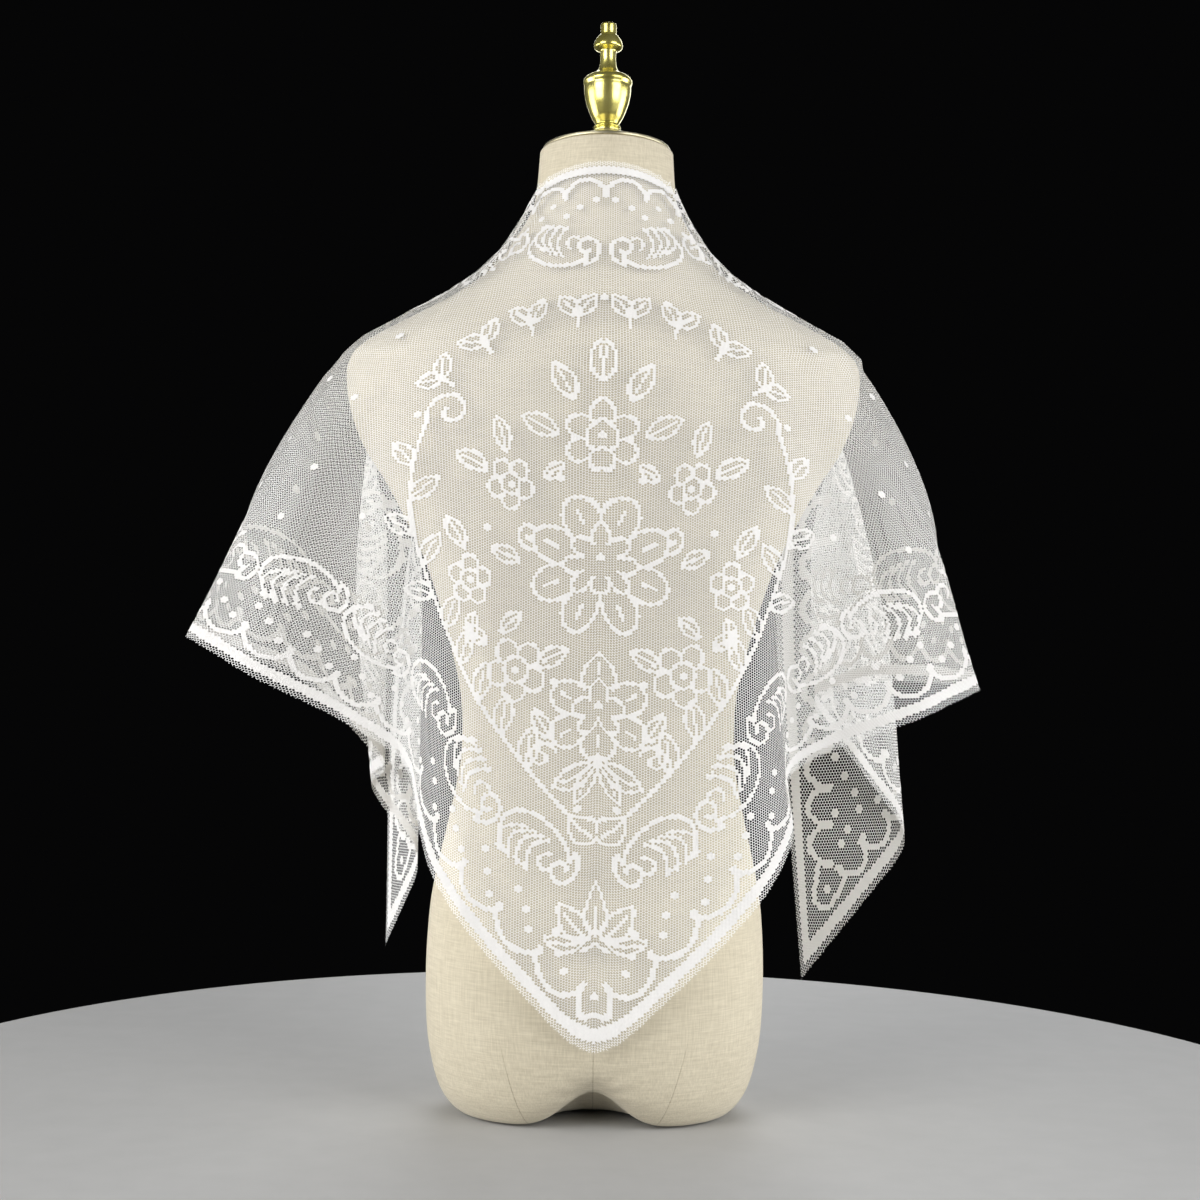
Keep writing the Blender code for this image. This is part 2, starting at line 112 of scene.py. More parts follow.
SHALLOW_FOLDS = (
    # side, top share, hem share, half width, height in mm, from, to
    (1, 0.42, 0.36, 0.035, 5, 0.30, 1.00),
    (1, 0.47, 0.44, 0.025, -4, 0.35, 1.00),
    (1, 0.30, 0.07, 0.030, 3, 0.45, 1.00),
    (-1, 0.43, 0.37, 0.035, 5, 0.30, 1.00),
    (-1, 0.47, 0.44, 0.025, -4, 0.35, 1.00),
    (-1, 0.26, 0.06, 0.030, 3, 0.45, 1.00),
)
# Fine creases that only the visible cloth has, all raised outwards from the form
FINE_CREASES = (
    # as above
    (1, 0.30, 0.32, 0.014, -1.6, -0.20, 0.02),
    (1, 0.365, 0.41, 0.010, -2.6, -0.22, 0.10),
    (1, 0.43, 0.47, 0.008, -2.2, -0.24, 0.16),
    (1, 0.36, 0.30, 0.012, -1.6, 0.25, 0.95),
    (1, 0.22, 0.17, 0.014, -1.8, 0.45, 1.00),
    (1, 0.53, 0.50, 0.010, -1.5, 0.15, 0.70),
    (1, 0.60, 0.55, 0.012, -1.8, 0.20, 1.00),
    (1, 0.68, 0.66, 0.010, -1.8, 0.30, 1.00),
    (1, 0.80, 0.78, 0.012, -1.6, 0.35, 1.00),
    (-1, 0.33, 0.36, 0.012, -1.8, -0.22, 0.04),
    (-1, 0.40, 0.455, 0.009, -2.6, -0.24, 0.14),
    (-1, 0.35, 0.29, 0.012, -1.6, 0.30, 0.95),
    (-1, 0.21, 0.15, 0.014, -1.8, 0.45, 1.00),
    (-1, 0.54, 0.51, 0.010, -1.5, 0.15, 0.70),
    (-1, 0.61, 0.56, 0.012, -1.8, 0.20, 1.00),
    (-1, 0.67, 0.65, 0.010, -1.8, 0.30, 1.00),
    (-1, 0.86, 0.85, 0.010, -1.6, 0.35, 1.00),
)

# Dress form, level by level from its foot to its neck, in mm
FORM_SECTIONS = (
    # up, half width, back, fore, squareness
    (0, 99, 74, 66, 2.5), (2, 107, 82, 73, 2.5), (9, 115, 90, 80, 2.4), (21, 122, 98, 86, 2.35),
    (38, 127, 104, 89, 2.3), (62, 131, 108, 91, 2.3), (95, 132.5, 110, 92, 2.3),
    (128, 132, 109, 93, 2.3), (162, 129.5, 105, 93, 2.25), (190, 124.5, 99, 91, 2.25),
    (219, 118, 91, 87, 2.25), (245, 112.5, 83, 83, 2.2), (271, 108, 77, 81, 2.2),
    (296, 107, 74, 81, 2.2), (326, 109, 76, 84, 2.2), (361, 117, 81, 91, 2.2),
    (396, 127, 88, 100, 2.2), (431, 139.5, 95, 109, 2.2), (464, 156, 101, 115, 2.2),
    (491, 171, 105, 117, 2.25), (516, 187, 108, 115, 2.3), (541, 197, 109, 109, 2.35),
    (566, 201.5, 108, 99, 2.4), (586, 199, 105, 88, 2.4), (600, 185, 101, 80, 2.35),
    (616, 156, 96, 72, 2.3), (634, 122, 90, 66, 2.3), (651, 97, 84, 61, 2.25),
    (668, 80, 78, 57, 2.2), (684, 69.5, 71, 54.5, 2.1), (698, 61.5, 65.5, 53, 2.05),
    (712, 56, 61.5, 52, 2.0), (728, 54, 57.5, 51, 2.0), (750, 52.5, 53, 50, 2.0),
)
FORM_BACK = 110 * MM            # the form's greatest depth to the back
FORM_ROUND = 256                # corners in one level of the visible form
FORM_LEVELS = 300
SMOOTH_STEPS = 8                # between two rows of a turned profile
BASE_INSETS = (0.2, 0.5, 0.8)
GATHER_HEIGHT = 0.9 * MM        # small gathers in a fan above the notch
GATHER_FROM = 15 * MM
GATHER_SPREAD = 13 * MM
GATHER_COUNT = 11
SEAM_DEPTH = 1.1 * MM           # the middle seam pulls the padding in
SEAM_SPREAD = 2.6 * MM
SEAM_LENGTH = 90 * MM
NOTCH_HEIGHT = 28 * MM          # where the cover is drawn in below, front and back
NOTCH_HALF_WIDTH = 29 * MM
NOTCH_STARTS_AT = 15 * MM
NOTCH_FULL_AT = 60 * MM
NOTCH_UP_TO = 60 * MM
NECK_TILT = math.radians(6)     # the neck's top falls towards the front
TILT_FROM = 686 * MM
NECK_TOP = 750 * MM

SEAM_HALF_WIDTH = 0.7 * MM      # of the linen cover
SIDE_SEAM_FOOT = 44 * MM        # from the middle to the curved seams at the base
SIDE_SEAM_SPREAD = 28 * MM      # by how much they spread further up
SIDE_SEAM_TOP = 78 * MM         # level where they end
MIDDLE_SEAM_TOP = 110 * MM      # level where the middle one is lost in the weave
LINEN_COLOURS = (
    # position, colour: the seams and gaps, the bright threads, and the weave between them
    (0.10, (0.27, 0.232, 0.165)), (0.70, (0.66, 0.60, 0.465)), (0.34, (0.47, 0.417, 0.31)),
)

# Neck cap and finial, each a profile from the top down its outer side: radius, height in mm
PART_GAP = 0.3 * MM
TURNED_ROUND = 128
CAP_PROFILE = (
    (0, 18.7), (11, 18.7), (13, 17.6), (24, 13.2), (34, 9.4), (42, 6.4), (47, 4.6),
    (49.6, 4.0), (50.4, 3.4), (50.5, 1.8), (49.8, 1.3), (47.2, 1.1), (47.0, 0.0), (0, 0.0),
)
FINIAL_PROFILE = (
    (0, 88.6), (4.8, 88.4), (6.2, 87.4), (6.4, 85.6), (6.3, 80.6), (6.6, 79.2), (8.6, 77.0),
    (10.6, 73.6), (11.4, 70.4), (11.0, 68.2), (8.6, 66.8), (6.7, 66.0), (6.3, 63.0),
    (6.2, 57.6), (7.0, 52.6), (9.0, 48.8), (12.6, 46.2), (16.6, 44.2), (18.8, 42.0),
    (19.4, 39.8), (18.8, 37.8), (18.4, 36.6), (18.5, 33.6), (17.9, 28.6), (16.6, 22.6),
    (14.6, 16.8), (12.4, 11.4), (10.2, 7.8), (9.2, 5.8), (9.4, 4.9), (10.4, 4.2),
    (10.6, 3.2), (10.0, 2.4), (10.6, 1.4), (10.4, 0.0), (0, 0.0),
)

# Where the form's own axis stands in the frame
form_low, form_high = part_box("dress_form")
AXIS = np.array([(form_low[0] + form_high[0]) / 2, form_low[1] + FORM_BACK, 0.0])

# Net ground and edging, as knitted
COLUMN = 2.15 * MM              # from one column of holes to the next
STITCH = 2.05 * MM              # from one hole to the next below; the next column is half off
HOLE_SHARE = 0.80               # width of a hole as a share of its six-sided mesh
BAND_FROM = 6.0 * MM            # the solid band starts this far from the edge
BAND_LONG = 6.5 * MM            # its width along the long edge
BAND_SHORT = 8.5 * MM           # and along the two short edges
TOOTH_LONG = 1.8 * MM           # pitch of the picot teeth
TOOTH_SHORT = 3.5 * MM
TOOTH_DEPTH = 1.5 * MM
LINE = 3.3 * MM                 # width of a drawn line
SCALLOP_RISE = 12 * MM
SCALLOP_LONG = 17.5 * MM        # from the long edge to the top of a scallop
SCALLOP_SHORT = 19.5 * MM       # and from the short edge
LONG_ROW_END = 636 * MM         # the rows of scallops, along their edges
SHORT_ROW_START = 49 * MM
SHORT_ROW_END = 940 * MM
DOT = 3.5 * MM                  # half diagonal of a dot
DOT_PITCH = 14 * MM             # along the edge, from one row's dot to the next row's
DOT_DEPTHS = (38 * MM, 47 * MM, 55 * MM)
DOT_WANDER = 2 * MM
SPRIGS = 4                      # to either side of the centre back, on an arc
SPRIG_FIRST = 6.5
SPRIG_STEP = 13
SPRIG_TOP = 141 * MM
SPRIG_RADIUS = 176 * MM
FIELD_TOP = 122 * MM            # strewn dots lie below this line, clear of edges and middle
FIELD_INSET = 128 * MM
CELL_WIDE = 0.70 * COLUMN       # a filled cell: from its middle to its side corners
CELL_NARROW = 0.36 * COLUMN     # and to its upper and lower corners
CELL_HIGH = 0.52 * STITCH
FIGURE_LIFT = 0.25 * MM         # from the net out to the figures
YARN_BUMP = 0.3 * MM
LINEN_BUMP = 0.4 * MM

# Studio and camera
FLOOR_RADIUS = 620 * MM
FLOOR_DEPTH = 20 * MM
LIGHTS_AIM = 450 * MM           # level that the lights look at
LIGHTS = (
    # name, place in metres, side in metres, watts, colour
    ("Key", (-1.8, -1.9, 1.35), 1.8, 65, (1.0, 0.99, 0.965)),
    ("Fill", (1.9, -1.8, 1.2), 1.8, 54, (1.0, 0.995, 0.98)),
    ("Front fill", (0.3, 2.2, 1.2), 1.6, 28, (0.97, 0.985, 1.0)),
    ("Left side", (-2.4, 0.0, 0.35), 1.6, 42, (1, 1, 1)),
    ("Right side", (2.5, 0.0, 0.35), 1.6, 44, (1, 1, 1)),
)
FRAME_PIXELS = 1200             # side of the photograph
PIXEL = 0.79 * MM               # what one of its pixels spans at the form's axis
CAMERA_DISTANCE = 1700 * MM
CAMERA_HEIGHT = 399 * MM
CAMERA_ROLL = 0.0150


# Drape


def form_section(up):
    """Half width, depth to the back, depth to the front and squareness of the form."""
    levels = np.array([row[0] for row in FORM_SECTIONS]) * MM
    values = np.array([row[1:] for row in FORM_SECTIONS])
    found = [np.interp(up, levels, values[:, k]) for k in range(4)]
    return found[0] * MM, found[1] * MM, found[2] * MM, found[3]


def settle_on_form(points):
    """Moves points level by level: out of the form, and near the neck in towards it."""
    x, y, z = np.moveaxis(points, -1, 0)
    level = z + math.tan(NECK_TILT) * y * np.clip((z - TILT_FROM) / (NECK_TOP - TILT_FROM), 0, 1)
    wide, back, fore, square = form_section(level - CLEARANCE)
    wide = wide + CLEARANCE
    deep = np.where(y < 0, back, fore) + CLEARANCE
    inside = (np.abs(x) / wide) ** square + (np.abs(y) / deep) ** square
    reach = np.where(level < NECK_TOP, inside ** (1 / square), 1.0)
    snug = np.clip((level - SNUG_FROM) / (SNUG_FULL - SNUG_FROM), 0, 1) * (level < NECK_TOP)
    settled = 1 + np.maximum(reach - 1, 0) * (1 - (1 - SNUG_KEEPS) * snug)
    move = settled / np.maximum(reach, NEAREST_REACH)
    return np.stack([x * move, y * move, z], axis=-1)


def rib_start(share):
    """Distance along the long edge, from centre back, where a rib leaves it."""
    return np.interp(share, [0, OUTER_FOLD, 1], [0, SILHOUETTE_START, NECK_HALF])


def collar_point(start):
    """Place on the long edge where it passes round the neck."""
    turn = start / ((COLLAR_WIDTH + COLLAR_DEPTH) / 2)
    up = COLLAR_TOP - COLLAR_DROP * (1 - np.cos(turn))
    return np.stack([COLLAR_WIDTH * np.sin(turn), COLLAR_FORE - COLLAR_DEPTH * np.cos(turn), up], -1)


def stations(side, shares):
    """The five places that each rib passes, for ribs on one side of the centre back."""
    own, other = (RIGHT_FOLDS, LEFT_FOLDS) if side > 0 else (LEFT_FOLDS, RIGHT_FOLDS)
    rows = (CENTRE_BACK,) + own
    at = np.array([row[0] for row in rows])
    soft = np.interp(shares, at, [row[1] for row in rows])
    mirrored = [-row[0] for row in reversed(other[:TIE_ROWS])]
    at_all = np.concatenate([mirrored, at])
    found = []
    for k in range(2, 6):
        near = [(-row[k][0], row[k][1], row[k][2]) for row in reversed(other[:TIE_ROWS])]
        places = np.array(near + [row[k] for row in rows]) * MM
        total = np.zeros((len(shares), 3))
        weight = 0.0
        for step in range(-SOFT_STEPS, SOFT_STEPS + 1):
            share = np.minimum(shares + soft * step / SOFT_STEPS, 1.0)
            part = SOFT_STEPS + 1 - abs(step)
            total += part * np.stack([np.interp(share, at_all, places[:, c]) for c in range(3)], -1)
            weight += part
        found.append(total / weight)
    collar = collar_point(rib_start(shares))
    return np.stack([collar] + found, axis=1) * [side, 1, 1]


def along_ribs(places, parts):
    """Points at even parts of each rib's length, on a smooth curve through its five places."""
    lead = 2 * places[:, :1] - places[:, 1:2]
    tail = 2 * places[:, -1:] - places[:, -2:-1]
    knots = np.concatenate([lead, places, tail], axis=1)
    gaps = np.sqrt(np.linalg.norm(np.diff(knots, axis=1), axis=2))
    time = np.concatenate([np.zeros((len(knots), 1)), np.cumsum(gaps, axis=1)], axis=1)
    fine = []
    for k in range(1, 5):
        t0, t1, t2, t3 = (time[:, k - 1 + j][:, None] for j in range(4))
        p0, p1, p2, p3 = (knots[:, k - 1 + j] for j in range(4))
        for step in range(RIB_STEPS + (k == 4)):
            t = t1 + (t2 - t1) * step / RIB_STEPS
            a1 = (t1 - t) / (t1 - t0) * p0 + (t - t0) / (t1 - t0) * p1
            a2 = (t2 - t) / (t2 - t1) * p1 + (t - t1) / (t2 - t1) * p2
            a3 = (t3 - t) / (t3 - t2) * p2 + (t - t2) / (t3 - t2) * p3
            b1 = (t2 - t) / (t2 - t0) * a1 + (t - t0) / (t2 - t0) * a2
            b2 = (t3 - t) / (t3 - t1) * a2 + (t - t1) / (t3 - t1) * a3
            fine.append((t2 - t) / (t2 - t1) * b1 + (t - t1) / (t2 - t1) * b2)
    fine = np.stack(fine, axis=1)
    length = np.linalg.norm(np.diff(fine, axis=1), axis=2)
    run = np.concatenate([np.zeros((len(fine), 1)), np.cumsum(length, axis=1)], axis=1)
    out = np.empty((len(fine), len(parts), 3))
    for i in range(len(fine)):
        for c in range(3):
            out[i, :, c] = np.interp(parts * run[i, -1], run[i], fine[i, :, c])
    return out


def grid_normals(points):
    """A unit normal, towards the form, at each point of a grid."""
    along = np.gradient(points, axis=1)
    across = np.gradient(points, axis=0)
    normal = np.cross(across, along)
    size = np.linalg.norm(normal, axis=2, keepdims=True)
    return normal / np.maximum(size, 1e-12)


def crease_lift(signed_shares, parts, table):
    """How far the folds of a table lift the cloth off its smooth drape."""
    lift = np.zeros((len(signed_shares), len(parts)))
    for side, top, hem, half, height, begin, end in table:
        middle = side * (top + (hem - top) * parts)
        away = (signed_shares[:, None] - middle[None, :]) / half
        rise = np.clip((parts - begin) / CREASE_FADE, 0, 1)
        rise = rise * np.clip((end + CREASE_FADE - parts) / CREASE_FADE, 0, 1)
        lift += height * MM * np.exp(-away * away) * (rise * rise * (3 - 2 * rise))[None, :]
    return lift


def draped_grid(signed_shares, parts):
    """Places and normals of the cloth, in the frame, at signed shares and parts of a rib."""
    points = np.empty((len(signed_shares), len(parts), 3))
    for side in (-1, 1):
        chosen = signed_shares < 0 if side < 0 else signed_shares >= 0
        points[chosen] = along_ribs(stations(side, np.abs(signed_shares[chosen])), parts)
    normals = grid_normals(points)
    lift = crease_lift(signed_shares, parts, SHALLOW_FOLDS)
    points = settle_on_form(points + normals * lift[..., None])
    fine = crease_lift(signed_shares, parts, FINE_CREASES)
    points = points + grid_normals(points) * fine[..., None]
    return points + AXIS, grid_normals(points)


def flat_grid(signed_shares, parts):
    """Flat coordinates of the same grid: across and down."""
    share = np.abs(signed_shares)[:, None]
    start = rib_start(share)
    across = start + parts * (HEIGHT_FLAT * share - start)
    down = parts * HEIGHT_FLAT * (1 - share)
    return across * np.sign(signed_shares)[:, None], down


GRID_SHARES = np.concatenate([np.linspace(-1, 0, GRID_SIDE)[:-1], np.linspace(0, 1, GRID_SIDE)])
GRID_PARTS = np.linspace(0, 1, GRID_DOWN)
grid_places, grid_facing = draped_grid(GRID_SHARES, GRID_PARTS)


def drape(across, down, lift):
    """Flat points carried to the draped cloth; a lift below 0 is outwards, off the form."""
    width = np.abs(across)
    low, high = np.zeros_like(width), np.full_like(width, 1.0)
    for _ in range(HALVINGS):
        middle = (low + high) / 2
        start = rib_start(middle)
        reach = start + down / (HEIGHT_FLAT * np.maximum(1 - middle, 1e-9)) * (
            HEIGHT_FLAT * middle - start)
        under = reach < width
        low = np.where(under, middle, low)
        high = np.where(under, high, middle)
    share = (low + high) / 2
    start = rib_start(share)
    by_down = down / (HEIGHT_FLAT * np.maximum(1 - share, 1e-6))
    by_width = (width - start) / np.maximum(HEIGHT_FLAT * share - start, 1e-6)
    part = np.clip(np.where(share < NEAR_TIP, by_down, by_width), 0, 1)
    signed = np.where(across < 0, -share, share)
    column = np.interp(signed, GRID_SHARES, np.arange(len(GRID_SHARES)))
    row = part * (len(GRID_PARTS) - 1)
    i = np.minimum(column.astype(int), len(GRID_SHARES) - 2)
    j = np.minimum(row.astype(int), len(GRID_PARTS) - 2)
    a, b = (column - i)[:, None], (row - j)[:, None]

    def mixed(values):
        return ((1 - a) * (1 - b) * values[i, j] + a * (1 - b) * values[i + 1, j]
                + (1 - a) * b * values[i, j + 1] + a * b * values[i + 1, j + 1])

    return mixed(grid_places) + mixed(grid_facing) * lift


# The woven figures


class Chart:
    """The right half of the knitter's chart: one square for each cell of the net."""

    def __init__(self):
        self.columns = int(HEIGHT_FLAT / COLUMN)
        self.rows = int(HEIGHT_FLAT / STITCH)
        rows, columns = np.meshgrid(np.arange(self.rows), np.arange(self.columns), indexing="ij")
        self.across = columns * COLUMN
        self.down = (rows + 0.5 + 0.5 * (columns % 2)) * STITCH
        self.edge_depth = (HEIGHT_FLAT - self.across - self.down) * math.sqrt(0.5)
        self.filled = np.zeros(self.across.shape, bool)

    def window(self, points, margin):
        """The part of the chart round some points."""
        low, high = points.min(axis=0) - margin, points.max(axis=0) + margin
        c0, c1 = int(max(low[0] / COLUMN - 1, 0)), int(max(high[0] / COLUMN + 2, 0))
        r0, r1 = int(max(low[1] / STITCH - 2, 0)), int(max(high[1] / STITCH + 2, 0))
        return slice(r0, min(r1, self.rows)), slice(c0, min(c1, self.columns))

    def line(self, points, width=LINE):
        """Fills the cells along a line."""
        points = np.asarray(points, float)
        part = self.window(points, width)
        x, y = self.across[part], self.down[part]
        if not x.size:
            return
        near = np.zeros(x.shape, bool)
        for k in range(len(points) - 1):
            way = points[k + 1] - points[k]
            size = max(float(way @ way), 1e-12)
            t = np.clip(((x - points[k, 0]) * way[0] + (y - points[k, 1]) * way[1]) / size, 0, 1)
            away = np.hypot(x - points[k, 0] - t * way[0], y - points[k, 1] - t * way[1])
            near |= away < width / 2
        self.filled[part] |= near

    def dot(self, x, y):
        """A small diamond round the nearest cell."""
        column = round(x / COLUMN)
        x = column * COLUMN
        y = (round(y / STITCH - 0.5 - 0.5 * (column % 2)) + 0.5 + 0.5 * (column % 2)) * STITCH
        part = self.window(np.array([[x, y]]), DOT)
        away = np.abs(self.across[part] - x) + np.abs(self.down[part] - y)
        self.filled[part] |= away < DOT


def turned(points, place, heading, size=1.0, mirror=1):
    """Points of a motif, scaled, turned and set in place; heading in degrees."""
    points = np.asarray(points, float) * [size, size * mirror]
    c, s = math.cos(math.radians(heading)), math.sin(math.radians(heading))
    return points @ np.array([[c, s], [-s, c]]) + np.asarray(place)


def arc(cx, cy, radius, start, end, squash=1.0, steps=14):
    """Points on an arc, angles in degrees."""
    angle = np.radians(np.linspace(start, end, steps))
    return np.stack([cx + radius * np.cos(angle), cy + radius * squash * np.sin(angle)], 1)


def volute(cx, cy, radius, start, sweep, inner=0.25, steps=24):
    """Points on a spiral that winds inwards from a start angle, in degrees."""
    t = np.linspace(0, 1, steps)
    angle = np.radians(start + sweep * t)
    reach = radius * inner ** t
    return np.stack([cx + reach * np.cos(angle), cy + reach * np.sin(angle)], 1)


def acanthus(chart, place, heading, size, mirror=1):
    """A scroll one unit long: a volute, an arched back and a comb of lobes under its far end."""
    curl_in = volute(0.20, 0.25, 0.215, 90, 430)
    back = arc(0.56, 0.20, 0.45, 146, -62, 0.66, 26)
    chart.line(turned(np.concatenate([curl_in[::-1], back]), place, heading, size, mirror), LINE)
    t = np.linspace(0, 1, 10)
    for k in range(4):
        top, foot = (0.50 + 0.085 * k, 0.38 - 0.025 * k), (0.46 + 0.11 * k, -0.02 - 0.025 * k)
        bulge = (0.10 + 0.02 * k) * np.sin(math.pi * t)
        lobe = np.stack([top[0] + (foot[0] - top[0]) * t + bulge,
                         top[1] + (foot[1] - top[1]) * t], 1)
        chart.line(turned(lobe, place, heading, size, mirror), LINE * 0.86)
        end = arc(foot[0] + 0.028, foot[1], 0.034, 180, 20)
        chart.line(turned(end, place, heading, size, mirror), LINE * 0.8)
    hook = arc(0.36, 0.20, 0.085, 70, -150)
    chart.line(turned(hook, place, heading, size, mirror), LINE * 0.86)


def palmette(chart, y, size):
    """A fan of pointed leaves over a small bar, mirrored by the chart itself."""
    for out, heading, length in ((0.0, -90, 1.0), (0.10, -50, 0.92), (0.16, -8, 0.72)):
        leaf(chart, (size * out, y), heading, size * length, -1, 0.2)
    chart.line([(0.0, y + 7 * MM), (size * 0.22, y + 6 * MM)], LINE)


def petal(foot, count, swell, steps):
    """The outline of one petal of a ring, in a flower of radius 1; it is as long as its foot."""
    t = np.linspace(0, 1, steps)
    out = foot + foot * np.sin(math.pi * t) ** 0.6
    swing = (t - 0.5) * 2 * math.pi / count * swell
    return np.stack([out * np.cos(swing), out * np.sin(swing)], 1)


def flower(chart, x, y, radius, petals, start=0.0, inner=0):
    """An open flower: petals in outline with a vein, an inner ring of petals and a heart."""
    for k in range(petals):
        angle = start + 360 / petals * k
        outline = petal(0.50, petals, 1.04, 17)
        chart.line(turned(outline, (x, y), angle, radius), LINE * 0.85)
        if radius > 30 * MM:
            chart.line(turned([(0.62, 0), (0.82, 0)], (x, y), angle, radius), LINE * 0.8)
    for k in range(inner):
        angle = start + 360 / inner * (k + 0.5)
        chart.line(turned(petal(0.25, inner, 1.0, 13), (x, y), angle, radius), LINE * 0.8)
    if not inner:
        chart.line(arc(x, y, radius * 0.42, 0, 360), LINE * 0.8)
    chart.dot(x, y)


def leaf(chart, place, heading, length, mirror=1, wide=0.24):
    """A pointed leaf in outline with a mid rib."""
    t = np.linspace(0, 1, 12)
    side = wide * np.sin(math.pi * t) ** 0.8
    for sign in (-1, 1):
        outline = np.stack([t, sign * side + 0.10 * t * t], 1)
        chart.line(turned(outline, place, heading, length, mirror), LINE * 0.8)
    rib = np.stack([t * 0.8, 0.06 * t * t], 1)
    chart.line(turned(rib, place, heading, length, mirror), LINE * 0.7)


def edge_frames():
    """The chart's long and short edge: where each starts, the way along and the way inwards."""
    half = math.sqrt(0.5)
    return (np.array([(0, 0), (1, 0), (0, 1)]),
            np.array([(0, HEIGHT_FLAT), (half, -half), (-half, -half)]))


def along_edge(edge, run, depth):
    """Flat points from runs along an edge and depths in from it."""
    start, way, inward = edge
    run, depth = np.broadcast_arrays(np.asarray(run, float), np.asarray(depth, float))
    return start + run[..., None] * way + depth[..., None] * inward


def scallop_line(chart, edge, first, last, count, bend, inset):
    """A row of scallops with a square tick at each joint; bend makes the later ones narrower."""
    part = np.arange(count + 1) / count
    joints = first + (last - first) * (part + bend * part * (1 - part))
    t = np.linspace(0, 1, 13)
    depth = inset + SCALLOP_RISE * (1 - np.sin(math.pi * t) ** 0.75)
    for begin, end in zip(joints[:-1], joints[1:]):
        chart.line(along_edge(edge, begin + (end - begin) * t, depth), LINE * 1.25)
    for run in joints:
        tick = np.array([-1.0, 4.0]) * MM + inset + SCALLOP_RISE
        chart.line(along_edge(edge, [run, run], tick), LINE * 1.9)


def edging(chart):
    """The bands, scallops, dots and scrolls that follow the edges."""
    long_edge, short_edge = edge_frames()
    edge_depth = chart.edge_depth
    in_long = (chart.down > BAND_FROM) & (chart.down < BAND_FROM + BAND_LONG)
    in_short = (edge_depth > BAND_FROM) & (edge_depth < BAND_FROM + BAND_SHORT)
    chart.filled |= in_long & (edge_depth > BAND_FROM)
    chart.filled |= in_short & (chart.down > BAND_FROM)

    scallop_line(chart, long_edge, 0.0, LONG_ROW_END, 19, 0.14, SCALLOP_LONG)
    scallop_line(chart, short_edge, SHORT_ROW_START, SHORT_ROW_END, 24, 0.26, SCALLOP_SHORT)
    chart.line(np.concatenate([[(12.0 * MM, 672 * MM)], arc(0.0, 686 * MM, 12.5 * MM, 0, 90)]),
               LINE * 1.3)
    chart.dot(0.0, 683 * MM)
    tip = np.array([661, 28.5]) * MM
    loop = arc(tip[0], tip[1], 9 * MM, -90, 45)
    begin = along_edge(long_edge, LONG_ROW_END, 24 * MM)
    end = along_edge(short_edge, SHORT_ROW_END, 26 * MM)
    chart.line(np.concatenate([[begin], loop, [end]]), LINE * 1.2)
    chart.dot(tip[0] - 6 * MM, tip[1] + 2 * MM)

    for edge, first, last in ((long_edge, 9 * MM, 630 * MM), (short_edge, 70 * MM, SHORT_ROW_END)):
        for k in range(int((last - first) / DOT_PITCH)):
            depth = DOT_DEPTHS[k % 3] + DOT_WANDER * math.sin(5 * k)
            chart.dot(*along_edge(edge, first + DOT_PITCH * k, depth))

    for edge, first, last, depth, size, swing, hand in (
            (long_edge, 38 * MM, 500 * MM, 77 * MM, 70 * MM, 11 * MM, 1),
            (short_edge, 152 * MM, 800 * MM, 86 * MM, 74 * MM, 14 * MM, -1)):
        heading = math.degrees(math.atan2(edge[1][1], edge[1][0]))
        pitch = size * 1.02
        for k in range(int((last - first) / pitch) + 1):
            flip = 1 if k % 2 else -1
            place = along_edge(edge, first + pitch * (k - 0.5), depth + flip * swing)
            acanthus(chart, place, heading, size, -flip * hand)


def sprig_place(angle):
    """A place on the arc of sprigs, at an angle in degrees from the centre back."""
    turn = math.radians(angle)
    return SPRIG_RADIUS * math.sin(turn), SPRIG_TOP + SPRIG_RADIUS * (1 - math.cos(turn))


